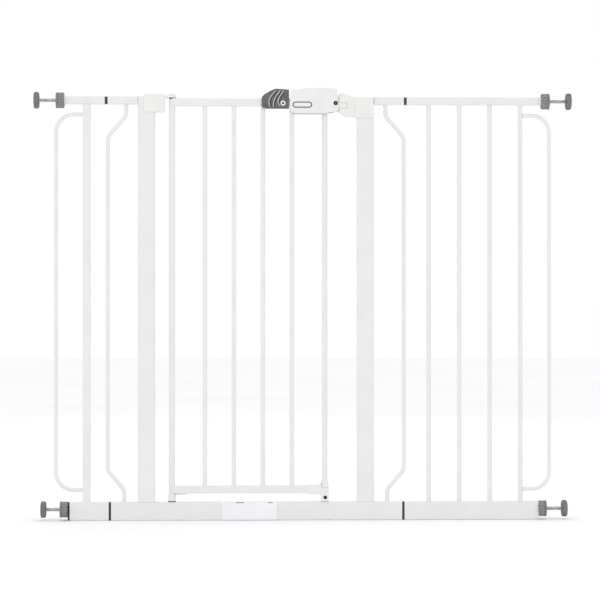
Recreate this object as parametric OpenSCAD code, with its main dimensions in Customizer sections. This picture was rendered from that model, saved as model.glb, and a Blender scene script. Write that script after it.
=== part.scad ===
// Pressure-fitted safety gate: main frame, swing door with lift-handle latch, a narrow and a wide
// extension panel, and four threaded spindles with fluted nuts and rubber wall pads.
// X runs along the gate, Y through it, Z up from the floor; the doorway's middle is at x = mid_x.

/* [Doorway and frame] */
// Clear width between the two posts
doorway_w = 426; // [360:1:520]
// Height of the frame's and panels' top rails
frame_h = 894; // [720:1:1080]
// Width of each post, seen from the front
post_w = 36.5; // [30:0.5:45]
// Depth of posts and bottom rails
post_d = 20; // [18:0.5:24]
// Corner radius of the posts
post_r = 5; // [2:0.5:7]
// Height of the bottom rails
base_h = 38; // [32:1:46]
// Side of the square top rails
square_w = 16; // [14:0.5:19]
// Corner radius of the rails
rail_r = 1.5; // [0.5:0.1:2.5]
// Wall of the frame's tubes
tube_wall = 1.2; // [0.8:0.1:1.5]
// Length of the top stub rail beside each post
top_stub = 63.5; // [52:0.5:80]
// Length of the bottom rail beyond the hinge post
bottom_stub_left = 55.5; // [50:0.5:80]
// Length of the bottom rail beyond the latch post
bottom_stub_right = 59.5; // [50:0.5:80]

/* [Side rods] */
// Diameter of the bent side rods
side_rod_d = 9; // [7:0.5:11]
// Bend radius of the side rods
side_rod_bend = 22; // [16:1:28]
// Bend angle of the side rods
side_rod_angle = 41; // [35:1:55]
// Sideways step of a side rod at its top
side_rod_top_step = 38.5; // [30:0.5:46]
// Sideways step of a side rod at its foot
side_rod_foot_step = 35; // [30:0.5:45]
// Straight end of a side rod under the top rail
side_rod_head = 16; // [8:1:40]
// Straight end of a side rod on the bottom rail
side_rod_foot = 18; // [8:1:40]

/* [Extension panels] */
// Top rail length of the narrow panel
narrow_w = 82; // [70:1:110]
// Top rail length of the wide panel
wide_w = 282.5; // [250:1:360]
// How much shorter the narrow panel's bottom rail is
narrow_short = 0; // [0:0.5:6]
// How much shorter the wide panel's bottom rail is
wide_short = 2; // [0:0.5:6]
// From the narrow panel's inner end to the middle of its post
narrow_post_in = 38; // [24:0.5:50]
// Diameter of the wide panel's bars
panel_bar_d = 10; // [8:0.5:14]
// Wall of the bars
bar_wall = 0.9; // [0.6:0.1:1.5]
// From the wide panel's inner end to its first bar
wide_bar_first = 47; // [40:0.5:55]
// Spacing of the wide panel's bars
wide_bar_pitch = 64.9; // [50:0.1:67]
// Diameter of the end loops
loop_d = 8.5; // [6:0.5:10]
// Bend radius of the end loops
loop_bend = 38; // [25:1:40]
// How far a loop's upright stands beyond its rail's end
loop_reach = 21; // [16:0.5:30]
// From the top rail's top down to a loop's upper arm
loop_drop = 38; // [34:1:80]
// From the bottom rail's top up to a loop's lower arm
loop_rise = 26; // [24:1:80]

/* [Door] */
// Diameter of the hinge stile
hinge_stile_d = 13.5; // [12:0.5:16]
// Diameter of the latch stile
latch_stile_d = 12; // [10:0.5:14]
// Diameter of the door's bars
door_bar_d = 10; // [8:0.5:12]
// Number of bars between the stiles
door_bars_n = 4; // [3:1:5]
// Spacing of the door's bars
door_bar_pitch = 61.2; // [50:0.1:66]
// From the hinge post's face to the hinge axis
hinge_gap = 35.5; // [30:0.5:45]
// From the latch post's face to the middle of the latch stile
latch_gap = 67.7; // [66:0.1:80]
// How far the door's top rail lies below the frame's
door_drop = 3.5; // [2:0.5:6]
// From the floor rail's top to the underside of the door's bottom rail
door_clear = 18.3; // [16:0.1:26]

/* [Latch] */
// Length of the handle from its left end to its pivot
handle_l = 97.2; // [80:0.2:110]
// Width of the handle through the gate
handle_d = 27; // [26:0.5:32]
// Wall of the handle's cheeks
handle_wall = 2.2; // [1.6:0.1:2.6]
// Pivot pin diameter of handle and release
pin_d = 5; // [4:0.5:6]
// Length of the release trigger
release_l = 57.7; // [48:0.1:64]
// Width of the release trigger through the gate
release_d = 25; // [24:0.5:27]
// Length of the latch tongue beyond the door's end block
tongue_l = 17.5; // [12:0.5:18]
// Height of the latch tongue
tongue_h = 12; // [8:0.5:13]
// Gap between the door's end block and the catch
catch_gap = 0.8; // [0.6:0.1:3]

/* [Spindles] */
// Thread diameter of the spindles
rod_d = 8; // [6:1:8]
// Length of a spindle behind its pad
rod_l = 122; // [95:1:130]
// Spindle showing between pad and nut, top pair
rod_show_top = 36.5; // [20:0.5:40]
// Spindle showing between pad and nut, bottom left
rod_show_left = 30.2; // [20:0.1:40]
// Spindle showing between pad and nut, bottom right
rod_show_right = 34; // [20:0.5:40]
// Diameter of the adjusting nuts
nut_d = 34.4; // [28:0.2:35]
// Length of the adjusting nuts
nut_l = 16.5; // [14:0.5:22]
// Diameter of the wall pads
pad_d = 35; // [30:0.5:36]
// Thickness of the wall pads
pad_t = 10; // [9:0.5:16]
// Flange thickness of the end plugs
end_flange = 4; // [3:0.5:6]
// Flange thickness of the top joint plugs
joint_flange_top = 6; // [4:0.5:8]
// Flange thickness of the bottom joint plugs
joint_flange_bottom = 5; // [4:0.5:8]
// Depth to which a plug's body enters a tube
plug_in = 22; // [14:1:30]

/* [Floor rail plate] */
// Length of the clip-on plate
plate_l = 116; // [90:1:140]
// Thickness of the clip-on plate
plate_t = 1.6; // [1:0.1:2.4]

/* [Hidden] */
$fn = 48;

// Clearances
fit = 0.15;          // plug or shoe in or on a tube, per side
run = 0.08;          // running fit, on the radius
air = 0.3;           // between pieces that pass each other
eps = 0.5;           // how far a cut runs past the face it opens

// Colours
white = [0.93, 0.93, 0.93];
grey = [0.42, 0.43, 0.44];
dark = [0.2, 0.2, 0.21];
zinc = [0.72, 0.73, 0.75];
plate_white = [0.9, 0.91, 0.95];

// Along X, from the left wall pad's face to the right one's
top_end = end_flange + air + nut_l + rod_show_top + pad_t;
frame_span = doorway_w + 2 * post_w + 2 * top_stub;
total_w = 2 * top_end + narrow_w + wide_w + 2 * joint_flange_top + frame_span;
narrow_x0 = -total_w / 2 + top_end;
narrow_x1 = narrow_x0 + narrow_w;
frame_x0 = narrow_x1 + joint_flange_top;
frame_x1 = frame_x0 + frame_span;
wide_x0 = frame_x1 + joint_flange_top;
wide_x1 = wide_x0 + wide_w;
mid_x = (frame_x0 + frame_x1) / 2;
hinge_face = mid_x - doorway_w / 2;
latch_face = mid_x + doorway_w / 2;
base_x0 = hinge_face - post_w - bottom_stub_left;
base_x1 = latch_face + post_w + bottom_stub_right;
narrow_base_x1 = base_x0 - joint_flange_bottom;
narrow_base_x0 = narrow_base_x1 - narrow_w + narrow_short;
wide_base_x0 = base_x1 + joint_flange_bottom;
wide_base_x1 = wide_base_x0 + wide_w - wide_short;
narrow_post_x = narrow_x1 - narrow_post_in;
wide_bars_x = [for (i = [0 : 3]) wide_x0 + wide_bar_first + i * wide_bar_pitch];
last_bar_x = wide_bars_x[3];

// Heights
top_z = frame_h - square_w / 2;          // axis of the top rails and top spindles
top_under = frame_h - square_w;          // underside of the top rails
base_rod_z = 22.5;                       // axis of the bottom spindles
loop_top_z = frame_h - loop_drop;
loop_low_z = base_h + loop_rise;

// Door
hinge_x = hinge_face + hinge_gap;
latch_x = latch_face - latch_gap;
door_top_z = top_z - door_drop;
door_top_under = door_top_z - square_w / 2;
door_low_z = base_h + door_clear;        // underside of the door's bottom rail
door_low_top = door_low_z + square_w;
door_bars_x = [for (i = [0 : door_bars_n - 1])
    (hinge_x + latch_x) / 2 + (i - (door_bars_n - 1) / 2) * door_bar_pitch];
door_rail_x0 = hinge_x + hinge_stile_d / 2;
door_end_x = latch_x + latch_stile_d / 2;

// Hinges
hinge_pin_d = 8;
washer_h = 2.5;
arm_t = 5.7;                             // thickness of the bracket's arm
stile_top = top_z + 3;
washer_z = stile_top;
arm_z = washer_z + washer_h + air;
bracket_top = arm_z + arm_t + 2;
bushing_flange = 1.5;
foot_z = base_h + bushing_flange + air;  // underside of the hinge foot

// Latch
pivot_z = top_z - 5.6;
catch_x = latch_face - 37.5;             // nose of the catch
block_end = catch_x - catch_gap;
pivot_x = block_end - 6.5;
release_pivot_z = pivot_z - 0.4;
release_x1 = pivot_x - handle_l - 1.3;   // right edge of the release
release_x = release_x1 - 12.7;           // its pivot
release_x0 = release_x1 - release_l;
handle_in = handle_d - 2 * handle_wall;
block_d = handle_in - 1.6;
tongue_z = pivot_z - 4.4;                // middle of the tongue
release_roof_z = pivot_z + 26.4;         // underside of the release's roof
handle_roof_z = pivot_z + 28.4;          // underside of the handle's roof
badge_l = 41.5;
badge_h = 13;
badge_t = 1.2;
badge_x = pivot_x - handle_l + 26.7;
badge_z = pivot_z - 3.5;
pivot_head_d = 10;                       // screw head on the handle's pivot
rod_seat = 7;                            // depth of a spindle in its pad

// A rectangle with round corners, centred
module round_rect(w, h, r) {
    square([w - 2 * r, h], center = true);
    square([w, h - 2 * r], center = true);
    for (x = [-1, 1], y = [-1, 1])
        translate([x * (w / 2 - r), y * (h / 2 - r)]) circle(r);
}

// Tube of a rounded rectangle along Z, w along X and d along Y
module tube(l, w, d, r, wall) {
    difference() {
        linear_extrude(l) round_rect(w, d, r);
        translate([0, 0, -eps]) linear_extrude(l + 2 * eps)
            round_rect(w - 2 * wall, d - 2 * wall, max(r - wall, 0.3));
    }
}

// Moves a Z-long piece so that it runs along +X from x0 at height z, its width upright
module along_x(x0, z) {
    translate([x0, 0, z]) rotate([90, 0, 90]) children();
}

// Square rail along X between two ends, centred at height z
module square_rail(x0, x1, z) {
    along_x(x0, z) tube(x1 - x0, square_w, square_w, rail_r, tube_wall);
}

// Floor rail along X between two ends
module floor_rail(x0, x1) {
    along_x(x0, base_h / 2) rotate([0, 0, 90]) tube(x1 - x0, base_h, post_d, rail_r, tube_wall);
}

// Round tube standing between two heights
module bar(x, z0, z1, d, wall) {
    translate([x, 0, z0]) difference() {
        cylinder(d = d, h = z1 - z0);
        translate([0, 0, -eps]) cylinder(d = d - 2 * wall, h = z1 - z0 + 2 * eps);
    }
}

// Bent rod that starts at the origin along +Z. Each step is [straight length, turn towards +X],
// and a negative turn bends back. A straight is a hair thinner than the bends it runs into.
module bent_rod(steps, d, bend, i = 0) {
    length = steps[i][0];
    turn = steps[i][1];
    into = 0.3;
    z0 = i == 0 ? 0 : -into;
    translate([0, 0, z0]) cylinder(d = d - 0.1, h = length - z0 + (turn == 0 ? 0 : into));
    translate([0, 0, length]) mirror([turn < 0 ? 1 : 0, 0, 0]) {
        if (turn != 0) {
            translate([bend, 0, 0]) rotate([90, 0, 0]) rotate([0, 0, 180 - abs(turn)])
                rotate_extrude(angle = abs(turn)) translate([bend, 0]) circle(d = d);
            translate([bend * (1 - cos(turn)), 0, bend * sin(abs(turn))])
                rotate([0, abs(turn), 0]) mirror([turn < 0 ? 1 : 0, 0, 0])
                    bent_rod(steps, d, bend, i + 1);
        }
    }
}

// Length of the slanted stretch that steps a rod sideways between two equal bends
function slant(step) =
    (step - 2 * side_rod_bend * (1 - cos(side_rod_angle))) / sin(side_rod_angle);

// Height that such a step takes up
function step_rise(step) =
    2 * side_rod_bend * sin(side_rod_angle) + slant(step) * cos(side_rod_angle);

// Coiled wire along a list of points, as rings joined to one closed skin; axis is the coil's
module wire(points, d, axis, sides = 8) {
    n = len(points);
    function heading(i) = points[min(i + 1, n - 1)] - points[max(i - 1, 0)];
    function unit(v) = v / norm(v);
    function side(i) = unit(cross(heading(i), axis));
    function upright(i) = unit(cross(side(i), heading(i)));
    rings = [for (i = [0 : n - 1], k = [0 : sides - 1])
        points[i] + d / 2 * (cos(360 * k / sides) * side(i) + sin(360 * k / sides) * upright(i))];
    skin = [for (i = [0 : n - 2], k = [0 : sides - 1])
        [i * sides + k, i * sides + (k + 1) % sides,
         (i + 1) * sides + (k + 1) % sides, (i + 1) * sides + k]];
    polyhedron(rings, concat(skin,
        [[for (k = [0 : sides - 1]) sides - 1 - k]],
        [[for (k = [0 : sides - 1]) (n - 1) * sides + k]]));
}

// ---- Main frame ----

module bottom_rail() {
    color(white) difference() {
        floor_rail(base_x0, base_x1);
        translate([hinge_x, 0, base_h - 6]) cylinder(d = 12 + 2 * fit, h = 6 + eps);
    }
}

module hinge_post() {
    color(white) translate([hinge_face - post_w / 2, 0, base_h])
        tube(frame_h - base_h, post_w, post_d, post_r, tube_wall);
}

module latch_post() {
    color(white) translate([latch_face + post_w / 2, 0, base_h])
        tube(frame_h - 2.2 - base_h, post_w, post_d, post_r, tube_wall);
}

module top_stub_left() {
    color(white) square_rail(frame_x0, hinge_face - post_w, top_z);
}

module top_stub_right() {
    color(white) square_rail(latch_face + post_w, frame_x1, top_z);
}

// The right side rod in place; the left one is its mirror image about the doorway's middle
module side_rod() {
    run_up = top_under - base_h - side_rod_foot - side_rod_head
        - step_rise(side_rod_foot_step) - step_rise(side_rod_top_step);
    translate([frame_span / 2 - side_rod_foot_step, 0, base_h])
        bent_rod([
            [side_rod_foot, side_rod_angle], [slant(side_rod_foot_step), -side_rod_angle],
            [run_up, -side_rod_angle], [slant(side_rod_top_step), side_rod_angle],
            [side_rod_head, 0]
        ], side_rod_d, side_rod_bend);
}

module side_rod_left() {
    color(white) translate([mid_x, 0, 0]) mirror([1, 0, 0]) side_rod();
}

module side_rod_right() {
    color(white) translate([mid_x, 0, 0]) side_rod();
}

// Moulded cap on the hinge post's corner, with an arm that holds the door's hinge pin
module hinge_bracket() {
    cap_x0 = hinge_face - 24;
    cap_x1 = hinge_face + 20;
    cap_z = frame_h - 33;
    cap_d = post_d + 4;
    color(white) difference() {
        union() {
            translate([cap_x0, -cap_d / 2, cap_z])
                cube([cap_x1 - cap_x0, cap_d, bracket_top - cap_z]);
            translate([cap_x1 - 1, -9, arm_z]) cube([hinge_x - cap_x1 + 1, 18, arm_t]);
            translate([hinge_x, 0, arm_z]) cylinder(r = 9, h = arm_t);
        }
        translate([cap_x0 - eps, -post_d / 2 - fit, cap_z - eps])
            cube([hinge_face - cap_x0 + eps, post_d + 2 * fit, frame_h - cap_z + eps]);
        translate([hinge_face + 3, 3 - cap_d / 2, cap_z - eps])
            cube([cap_x1 - hinge_face - 6, cap_d - 6, frame_h - cap_z]);
        translate([hinge_x, 0, arm_z - eps])
            cylinder(d = hinge_pin_d + 2 * run, h = arm_t + 2 * eps);
    }
}

// Catch on the latch post: a nose with a slot for the door's tongue, and two plates over the post
module latch_catch() {
    nose_d = block_d - 0.6;
    plate_d = post_d + 3.6;
    plate_w = post_w - 1;
    slot_h = tongue_h + 2 * air;
    color(white) difference() {
        union() {
            translate([0, nose_d / 2, 0]) rotate([90, 0, 0]) linear_extrude(nose_d) polygon([
                [catch_x, frame_h - 32], [catch_x + 8, frame_h - 37],
                [catch_x + 17, frame_h - 41.6], [latch_face, frame_h - 41.6],
                [latch_face, frame_h - 0.8], [catch_x + 24.5, frame_h + 1.6],
                [catch_x + 16, frame_h + 4.6], [catch_x + 8, frame_h + 7.4],
                [catch_x + 3, frame_h + 8.2], [catch_x, frame_h + 7.4]
            ]);
            translate([latch_face - 4, -plate_d / 2, frame_h - 41.6])
                cube([5, plate_d, 41]);
            translate([latch_face, -plate_d / 2, frame_h - 44.5])
                cube([plate_w, plate_d, 43.9]);
        }
        translate([latch_face, -post_d / 2 - fit, frame_h - 45 - eps])
            cube([post_w + eps, post_d + 2 * fit, 42.8 + eps]);
        translate([catch_x - eps, -nose_d, tongue_z - slot_h / 2])
            cube([tongue_l - catch_gap + 0.6 + eps, 2 * nose_d, slot_h]);
    }
}

// Two screws through the hinge bracket and two through the catch, from the back
module frame_screws() {
    cap_back = post_d / 2 + 2;
    catch_back = post_d / 2 + 1.8;
    for (at = [[hinge_face - 14, cap_back, frame_h - 24], [hinge_face - 14, cap_back, frame_h - 10],
               [latch_face + 12, catch_back, frame_h - 32],
               [latch_face + 12, catch_back, frame_h - 12]])
        color(zinc) translate(at) rotate([-90, 0, 0]) difference() {
            cylinder(d = 7, h = 1.8);
            translate([0, 0, 1]) for (turn = [0, 90]) rotate(turn)
                translate([-2, -0.4, 0]) cube([4, 0.8, 1]);
        }
}

// Dark flanged bush in the bottom rail, in which the door's foot turns
module bottom_hinge_bushing() {
    color(dark) translate([hinge_x, 0, base_h]) difference() {
        union() {
            cylinder(d = 16.7, h = bushing_flange);
            translate([0, 0, -12]) cylinder(d = 12, h = 12);
        }
        translate([0, 0, -12 - eps]) cylinder(d = hinge_pin_d + 2 * run, h = 15 + 2 * eps);
    }
}

// Small stop plate on the front of the bottom rail, under the door's shoe
module bottom_strike() {
    color(white) translate([latch_x + 1.5, -post_d / 2 - 1.2, base_h - 13]) difference() {
        cube([7, 1.2, 10]);
        translate([3.5, -eps, 5]) rotate([-90, 0, 0]) cylinder(d = 2.4, h = 1.2 + 2 * eps);
    }
}

// Plate that clips over the bottom rail, with a lip underneath and two tabs on top
module threshold_plate() {
    x0 = mid_x - 71.5;
    color(plate_white) {
        translate([x0, -post_d / 2, 0.6]) rotate([90, 0, 0]) linear_extrude(plate_t) difference() {
            translate([plate_l / 2, (base_h - 0.6) / 2]) square([plate_l, base_h - 0.6], center = true);
            for (side = [0, 1]) translate([side * plate_l, 0]) mirror([side, 0]) difference() {
                translate([-eps, -eps]) square(4 + eps);
                translate([4, 4]) circle(4);
            }
        }
        for (at = [[x0 + 30, 17], [x0 + 96, 11]])
            translate([at[0], -post_d / 2 - plate_t, base_h]) cube([at[1], 8, 1.4]);
    }
}

// ---- Joint plugs between the panels and the main frame ----

// Plug along +X: a flange between two tubes of equal outline and a body in each of them
module joint_plug(x0, z, flange, w, h, bore) {
    inner_w = w - 2 * tube_wall - 2 * fit;
    inner_h = h - 2 * tube_wall - 2 * fit;
    color(dark) difference() {
        union() {
            translate([x0, -w / 2, z - h / 2]) cube([flange, w, h]);
            translate([x0 - plug_in, -inner_w / 2, z - inner_h / 2])
                cube([flange + 2 * plug_in, inner_w, inner_h]);
        }
        if (bore > 0) translate([x0 - plug_in - eps, 0, z == top_z ? z : base_rod_z])
            rotate([0, 90, 0]) cylinder(d = bore, h = flange + 2 * (plug_in + eps));
    }
}

module joint_plug_top_left() {
    joint_plug(narrow_x1, top_z, joint_flange_top, square_w, square_w, rod_d + 2);
}

module joint_plug_bottom_left() {
    joint_plug(narrow_base_x1, base_h / 2, joint_flange_bottom, post_d, base_h, rod_d + 2);
}

module joint_plug_top_right() {
    joint_plug(frame_x1, top_z, joint_flange_top, square_w, square_w, 0);
}

module joint_plug_bottom_right() {
    joint_plug(base_x1, base_h / 2, joint_flange_bottom, post_d, base_h, 0);
}

// ---- Narrow panel ----

module narrow_panel_top_rail() {
    color(white) square_rail(narrow_x0, narrow_x1, top_z);
}

module narrow_panel_bottom_rail() {
    color(white) floor_rail(narrow_base_x0, narrow_base_x1);
}

module narrow_panel_post() {
    color(white) translate([narrow_post_x, 0, base_h])
        tube(top_under - base_h, square_w, square_w, rail_r, tube_wall);
}

// Loop from an upright's side out beyond the panel's end, down and back; arm is its straight length
module end_loop(arm) {
    rotate([0, 90, 0]) bent_rod([
        [arm, 90], [loop_top_z - loop_low_z - 2 * loop_bend, 90], [arm, 0]
    ], loop_d, loop_bend);
}

module narrow_panel_loop() {
    arm = narrow_post_x - square_w / 2 - (narrow_x0 - loop_reach) - loop_bend;
    color(white) translate([narrow_post_x - square_w / 2, 0, loop_top_z])
        mirror([1, 0, 0]) end_loop(arm);
}

// ---- Wide panel ----

module wide_panel_top_rail() {
    color(white) square_rail(wide_x0, wide_x1, top_z);
}

module wide_panel_bottom_rail() {
    color(white) floor_rail(wide_base_x0, wide_base_x1);
}

module wide_panel_bars() {
    color(white) for (x = wide_bars_x) bar(x, base_h, top_under, panel_bar_d, bar_wall);
}

module wide_panel_loop() {
    arm = wide_x1 + loop_reach - last_bar_x - loop_bend;
    color(white) difference() {
        translate([last_bar_x, 0, loop_top_z]) end_loop(arm);
        translate([last_bar_x, 0, loop_low_z - loop_d])
            cylinder(d = panel_bar_d + 0.1, h = loop_top_z - loop_low_z + 2 * loop_d);
    }
}

// ---- End plugs ----

// Plug at a rail's outer end, pointing along +X from the rail's end face; the spindle slides in it
module end_plug(z, w, h, rod_z, tone) {
    inner_w = w - 2 * tube_wall - 2 * fit;
    inner_h = h - 2 * tube_wall - 2 * fit;
    color(tone) difference() {
        union() {
            translate([0, -w / 2, z - h / 2]) cube([end_flange, w, h]);
            translate([-plug_in, -inner_w / 2, z - inner_h / 2]) cube([plug_in, inner_w, inner_h]);
        }
        translate([-plug_in - eps, 0, rod_z]) rotate([0, 90, 0])
            cylinder(d = rod_d + 2 * air, h = plug_in + end_flange + 2 * eps);
    }
}

module end_plug_top_left() {
    translate([narrow_x0, 0, 0]) mirror([1, 0, 0]) end_plug(top_z, square_w, square_w, top_z, white);
}

module end_plug_bottom_left() {
    translate([narrow_base_x0, 0, 0]) mirror([1, 0, 0])
        end_plug(base_h / 2, post_d, base_h, base_rod_z, dark);
}

module end_plug_top_right() {
    translate([wide_x1, 0, 0]) end_plug(top_z, square_w, square_w, top_z, white);
}

module end_plug_bottom_right() {
    translate([wide_base_x1, 0, 0])
        end_plug(base_h / 2, post_d, base_h, base_rod_z, white);
}

// ---- Door ----

module door_top_rail() {
    color(white) difference() {
        square_rail(hinge_x, door_end_x, door_top_z);
        translate([hinge_x, 0, door_top_under - eps])
            cylinder(d = hinge_stile_d + 0.1, h = square_w + 2 * eps);
        translate([hinge_x - hinge_stile_d, -square_w, door_top_under - eps])
            cube([hinge_stile_d, 2 * square_w, square_w + 2 * eps]);
        translate([release_x, -square_w, release_pivot_z]) rotate([-90, 0, 0])
            cylinder(d = pin_d + 2 * fit, h = 2 * square_w);
    }
}

module door_bottom_rail() {
    color(white) difference() {
        square_rail(hinge_x, latch_x, door_low_z + square_w / 2);
        for (at = [[hinge_x, hinge_stile_d, -1], [latch_x, latch_stile_d, 1]])
            translate([at[0], 0, door_low_z - eps]) {
                cylinder(d = at[1] + 0.1, h = square_w + 2 * eps);
                translate([at[2] < 0 ? -at[1] : 0, -square_w, 0])
                    cube([at[1], 2 * square_w, square_w + 2 * eps]);
            }
    }
}

module hinge_stile() {
    color(white) bar(hinge_x, foot_z + 15, stile_top, hinge_stile_d, tube_wall);
}

module latch_stile() {
    color(white) bar(latch_x, door_low_z, door_top_under, latch_stile_d, bar_wall);
}

module door_bars() {
    color(white) for (x = door_bars_x) bar(x, door_low_top, door_top_under, door_bar_d, bar_wall);
}

// Pin through the bracket's arm and the washer, down into the hinge stile
module top_hinge_pin() {
    color(zinc) translate([hinge_x, 0, 0]) {
        translate([0, 0, stile_top - 24])
            cylinder(d = hinge_pin_d, h = arm_z + arm_t + air + eps - stile_top + 24);
        translate([0, 0, arm_z + arm_t + air]) cylinder(d = 12, h = 1.6);
    }
}

// Dark washer between the stile's top and the arm, with a sleeve that centres the pin in the stile
module top_hinge_washer() {
    color(dark) translate([hinge_x, 0, washer_z]) difference() {
        union() {
            cylinder(d = hinge_stile_d - 0.5, h = washer_h);
            translate([0, 0, -24]) cylinder(d = hinge_stile_d - 2 * tube_wall - 2 * fit, h = 24 + eps);
        }
        translate([0, 0, -24 - eps]) cylinder(d = hinge_pin_d + 2 * fit, h = 24 + washer_h + 2 * eps);
    }
}

// White foot under the hinge stile, with the pin that turns in the bush
module hinge_foot() {
    stile_inner = hinge_stile_d - 2 * tube_wall - 2 * fit;
    color(white) translate([hinge_x, 0, foot_z]) {
        cylinder(d = 15.4, h = 15);
        translate([0, 0, 15 - eps]) cylinder(d = stile_inner, h = 18 + eps);
        translate([0, 0, -13]) cylinder(d = hinge_pin_d, h = 13 + eps);
    }
}

// Moulded corner at the latch stile's foot: a sleeve on the stile, a gusset and a stop leg
module bottom_shoe() {
    shoe_d = square_w + 3;
    leg_x0 = latch_x - 8.3;
    color(white) difference() {
        union() {
            translate([leg_x0, -shoe_d / 2, base_h + 1])
                cube([16.6, shoe_d, door_low_top - base_h - 5]);
            translate([latch_x, 0, door_low_top - 5]) cylinder(d1 = 16.6, d2 = 13.6, h = 18);
            translate([0, shoe_d / 2, 0]) rotate([90, 0, 0]) linear_extrude(shoe_d) polygon([
                [leg_x0 - 9, door_low_z - 1], [leg_x0 - 6, door_low_z - 2],
                [leg_x0 + 1, door_low_z - 6], [leg_x0 + 1, door_low_top + 4],
                [leg_x0 - 1, door_low_top + 4], [leg_x0 - 9, door_low_top + 1]
            ]);
            translate([leg_x0 - 30, -shoe_d / 2, door_low_z - 1.5])
                cube([22, shoe_d, square_w + 3]);
        }
        translate([latch_x, 0, door_low_z])
            cylinder(d = latch_stile_d + 2 * fit, h = 60);
        translate([leg_x0 - 30 - eps, -square_w / 2 - fit, door_low_z - fit])
            cube([latch_x - leg_x0 + 30 + eps + fit, square_w + 2 * fit, square_w + 2 * fit]);
        translate([latch_x + 1, -shoe_d, base_h + 9.5]) rotate([-90, 0, 0])
            cylinder(d = 3.4, h = 2 * shoe_d);
    }
}

module shoe_screw() {
    shoe_d = square_w + 3;
    color(dark) translate([latch_x + 1, 0, base_h + 9.5]) rotate([90, 0, 0]) {
        translate([0, 0, shoe_d / 2]) cylinder(d = 7.4, h = 1.6);
        translate([0, 0, -shoe_d / 2]) cylinder(d = 3, h = shoe_d + eps);
    }
}

// ---- Latch ----

// Block plugged into the door rail's end: carries the handle's pivot and the tongue
module latch_block() {
    inner = square_w - 2 * tube_wall - 2 * fit;
    x0 = door_end_x;
    spring_x = pivot_x - 6.5;
    color(white) difference() {
        union() {
            translate([0, block_d / 2, 0]) rotate([90, 0, 0]) linear_extrude(block_d) polygon([
                [x0, door_top_under], [pivot_x - 6, pivot_z - 15.4],
                [block_end, pivot_z - 17.5], [block_end, pivot_z + 15], [block_end - 3, pivot_z + 18],
                [x0, pivot_z + 18]
            ]);
            translate([x0 - plug_in, -inner / 2, door_top_z - inner / 2])
                cube([plug_in + 1, inner, inner]);
            translate([block_end - 1, 0.7 - block_d / 2, tongue_z - tongue_h / 2])
                cube([tongue_l + 1, block_d - 1.4, tongue_h]);
        }
        translate([pivot_x, -block_d, pivot_z]) rotate([-90, 0, 0])
            cylinder(d = pin_d + 2 * run, h = 2 * block_d);
        translate([pivot_x, -5, pivot_z]) rotate([-90, 0, 0]) cylinder(r = 4.6, h = 10);
        translate([spring_x, -5, pivot_z]) cube([4.6, 10, 19]);
    }
}

// Screw through handle and block, with a dark head on each side
module handle_pivot_pin() {
    head_y = handle_d / 2 - 0.6;
    color(dark) translate([pivot_x, 0, pivot_z]) rotate([90, 0, 0]) {
        translate([0, 0, -head_y - eps]) cylinder(d = pin_d, h = 2 * (head_y + eps));
        for (side = [0, 1]) mirror([0, 0, side])
            translate([0, 0, head_y]) cylinder(d = pivot_head_d, h = 1.5);
    }
}

// Torsion spring round the handle's pivot, with a leg up to the handle's roof
module handle_spring() {
    r = 3.7;
    turns = 5.5;
    steps = 18;
    half = 3.6;
    coil = [for (i = [0 : turns * steps]) let (a = 180 + 360 * i / steps)
        [pivot_x + r * cos(a), half * (2 * i / (turns * steps) - 1), pivot_z + r * sin(a)]];
    color(zinc) wire(concat(
        [[pivot_x - r, -half, pivot_z + 23], [pivot_x - r, -half, pivot_z + 1]], coil), 1, [0, 1, 0]);
}

// Rivet of the release, with a wide light head on each side
module release_pin() {
    head_y = release_d / 2 + air;
    color(white) translate([release_x, 0, release_pivot_z]) rotate([90, 0, 0]) difference() {
        union() {
            translate([0, 0, -head_y - eps]) cylinder(d = pin_d, h = 2 * (head_y + eps));
            for (side = [0, 1]) mirror([0, 0, side])
                translate([0, 0, head_y]) cylinder(d = 11, h = 1.2);
        }
        for (side = [0, 1]) mirror([0, 0, side])
            translate([0, 0, head_y + 0.6]) cylinder(d = 4.6, h = 1);
    }
}

// Compression spring between the door's top rail and the release's roof
module release_spring() {
    r = 3;
    z0 = door_top_z + square_w / 2 + 0.5;
    z1 = release_roof_z - 0.5;
    turns = 7;
    steps = 16;
    color(zinc) wire([for (i = [0 : turns * steps]) let (a = 360 * i / steps)
        [release_x - 14 + r * cos(a), r * sin(a), z0 + (z1 - z0) * i / (turns * steps)]], 1, [0, 0, 1]);
}

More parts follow.
